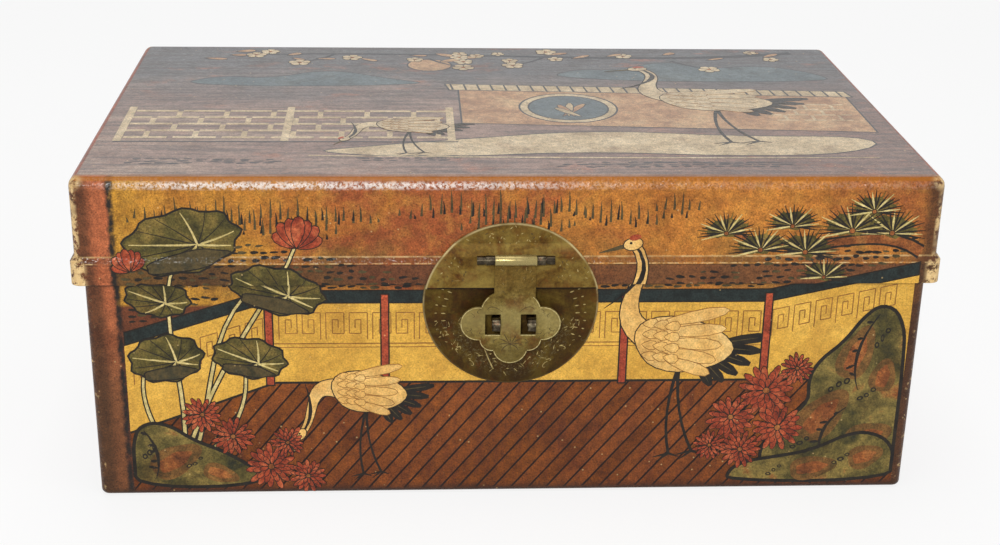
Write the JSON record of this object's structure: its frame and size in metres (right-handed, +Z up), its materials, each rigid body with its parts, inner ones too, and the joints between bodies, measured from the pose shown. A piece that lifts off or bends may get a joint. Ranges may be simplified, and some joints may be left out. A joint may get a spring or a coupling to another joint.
{
  "type": "deed box",
  "caption": "Low rectangular leather-covered wooden box with a hinged lapping lid, a round lock plate and a swinging hasp over eyes for a lock bar.",
  "frame": {"origin": "centre of the footprint on the underside", "axes": "+X to the right along the length, +Y to the back, +Z up; the lock plate faces -Y"},
  "size_m": [0.343, 0.2161, 0.1385],
  "materials": {
    "painted_leather": "lacquered and painted, worn at the edges",
    "pine": "planed, unfinished",
    "bamboo": "split and rounded",
    "lining_paper": "pasted, matt",
    "plate_brass": "dull, toned brown",
    "hasp_brass": "rubbed and engraved",
    "hinge_brass": "dull, toned brown",
    "brass_tack": "rubbed",
    "iron": "wrought, dark with rubbed highlights"
  },
  "bodies": {
    "base": {"base_bottom_board": "pine", "base_front_board": "pine", "base_back_board": "pine", "base_left_end_board": "pine", "base_right_end_board": "pine", "base_leather_cover": "painted_leather", "base_wall_lining": "lining_paper", "base_floor_lining": "lining_paper", "base_corner_pins": "bamboo", "base_floor_pins": "bamboo", "base_hinge_tacks": "brass_tack", "lower_lock_plate": "plate_brass", "left_staple": "iron", "right_staple": "iron", "left_base_hinge_leaf": "hinge_brass", "right_base_hinge_leaf": "hinge_brass", "left_hinge_pin": "iron", "right_hinge_pin": "iron"},
    "lid": {"lid_top_board": "pine", "lid_front_rail": "pine", "lid_back_rail": "pine", "lid_left_rail": "pine", "lid_right_rail": "pine", "front_lap_strip": "pine", "left_lap_strip": "pine", "right_lap_strip": "pine", "back_left_lap_strip": "pine", "back_middle_lap_strip": "pine", "back_right_lap_strip": "pine", "lid_leather_cover": "painted_leather", "lid_lining": "lining_paper", "lid_corner_pins": "bamboo", "lid_top_pins": "bamboo", "lap_strip_pins": "bamboo", "lid_hinge_tacks": "brass_tack", "upper_lock_plate": "plate_brass", "hasp_rod": "iron", "left_rod_eye": "iron", "right_rod_eye": "iron", "left_lid_hinge_leaf": "hinge_brass", "right_lid_hinge_leaf": "hinge_brass"},
    "hasp": {"hasp": "hasp_brass"}
  },
  "joints": [
    {"name": "lid_hinge", "type": "hinge", "parent": "base", "child": "lid", "pos_m": [0, 0.10212, 0.096], "axis": [-1, 0, 0], "range_deg": [0, 108]},
    {"name": "hasp_hinge", "type": "hinge", "parent": "lid", "child": "hasp", "pos_m": [0.0012, -0.10795, 0.1068], "axis": [-1, 0, 0], "range_deg": [0, 190]}
  ]
}
